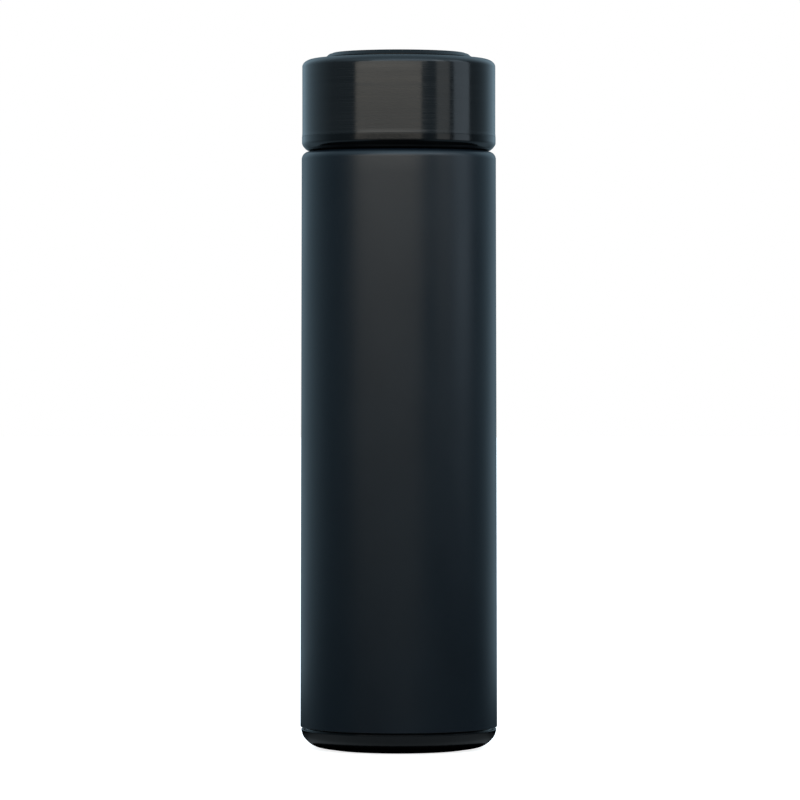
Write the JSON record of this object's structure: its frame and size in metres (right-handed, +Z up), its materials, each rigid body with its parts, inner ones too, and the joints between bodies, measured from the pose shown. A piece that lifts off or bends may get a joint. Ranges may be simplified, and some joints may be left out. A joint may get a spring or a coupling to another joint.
{
  "type": "vacuum flask",
  "caption": "Slim double-wall vacuum flask with a screw-on lid, a raised round temperature display on top, a tea strainer in the neck and a rounded base cap.",
  "frame": {"origin": "on the table, at the flask's centre line", "axes": "+Z up along the flask's axis; -Y is the side that the picture shows; the display reads left to right along +X"},
  "size_m": [0.0654, 0.0654, 0.2309],
  "materials": {
    "body_paint": "silky matte navy-black paint on steel",
    "lid_steel": "semi-gloss black on brushed steel",
    "black_plastic": "fine moulded texture",
    "lens": "smoked gloss",
    "steel": "satin stainless",
    "foil": "thin copper foil",
    "solder": "dull solder",
    "getter": "pressed dark powder or glass bead",
    "silicone": "translucent white silicone",
    "pad_rubber": "black rubber",
    "board": "green solder mask",
    "spring_metal": "plated spring strip",
    "wire": "red wire sleeve"
  },
  "bodies": {
    "flask": {"outer_shell": "body_paint", "inner_vessel": "steel", "reflective_foil": "foil", "middle_bottom": "steel", "vacuum_plug": "solder", "getter_pellet": "getter", "getter_strap": "steel", "base_cap": "black_plastic", "base_pad": "pad_rubber"},
    "strainer": {"tea_strainer": "steel"},
    "lid_seal": {"lid_seal": "silicone"},
    "lid": {"lid_shell": "lid_steel", "lid_liner": "black_plastic", "display_bezel": "lid_steel", "display_lens": "lens", "sensor_plate": "steel", "plate_gasket": "silicone", "thermistor": "getter", "sensor_lead_1": "wire", "sensor_lead_2": "wire", "module_case": "black_plastic", "case_screw_1": "steel", "case_screw_2": "steel", "case_screw_3": "steel", "circuit_board": "board", "led_display": "black_plastic", "controller_chip": "black_plastic", "touch_spring": "spring_metal", "coin_cell": "steel", "cell_strap": "spring_metal", "cell_contact": "spring_metal"}
  },
  "joints": [
    {"name": "strainer_lift", "type": "slide", "parent": "flask", "child": "strainer", "axis": [0, 0, 1], "range_m": [0, 0.06]},
    {"name": "lid_rise", "type": "slide", "parent": "strainer", "child": "lid_seal", "axis": [0, 0, 1], "range_m": [0, 0.0044]},
    {"name": "lid_turn", "type": "hinge", "parent": "lid_seal", "child": "lid", "pos_m": [0, 0, 0.2], "axis": [0, 0, 1], "range_deg": [0, 450]}
  ],
  "couplings": [
    {"joint": "lid_rise", "follows": "lid_turn", "m_per_rad": 0.00055704}
  ]
}
